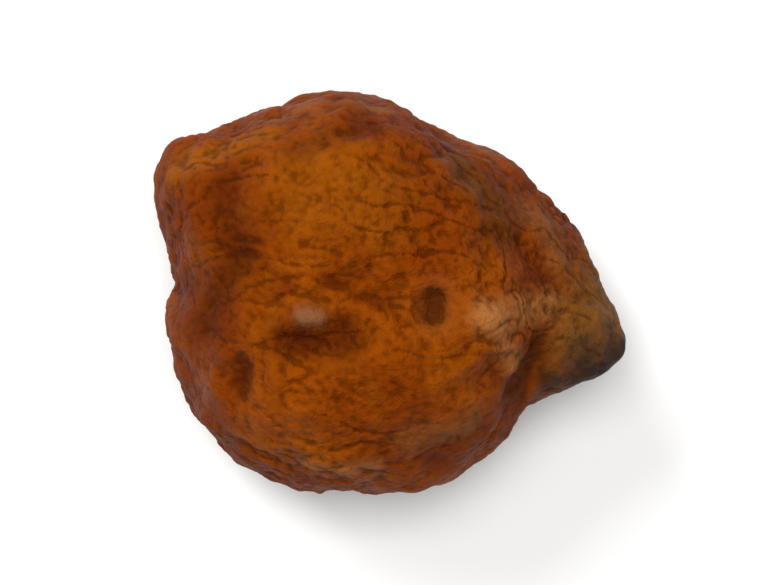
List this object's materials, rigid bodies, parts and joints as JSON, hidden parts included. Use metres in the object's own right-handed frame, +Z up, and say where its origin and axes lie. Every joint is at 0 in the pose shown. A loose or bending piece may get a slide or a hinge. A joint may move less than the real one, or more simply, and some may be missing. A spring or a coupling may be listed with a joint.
{
  "type": "chickpea",
  "caption": "Dry brown chickpea with a hooked beak, a blunt shoulder, a furrow between its seed leaves and a wrinkled coat, resting on a small flat spot.",
  "frame": {"origin": "on the surface that the seed rests on, under the middle of its box", "axes": "+X towards the beak end, +Y across the two seed leaves, +Z up, out of the hilum side"},
  "size_m": [0.0084, 0.0072, 0.0063],
  "materials": {
    "seed_coat": "dry seed coat, satin to dull, orange-brown with redder hollows and a grey-tan beak with a near-black tip"
  },
  "bodies": {
    "root": {"chickpea": "seed_coat"}
  },
  "joints": []
}
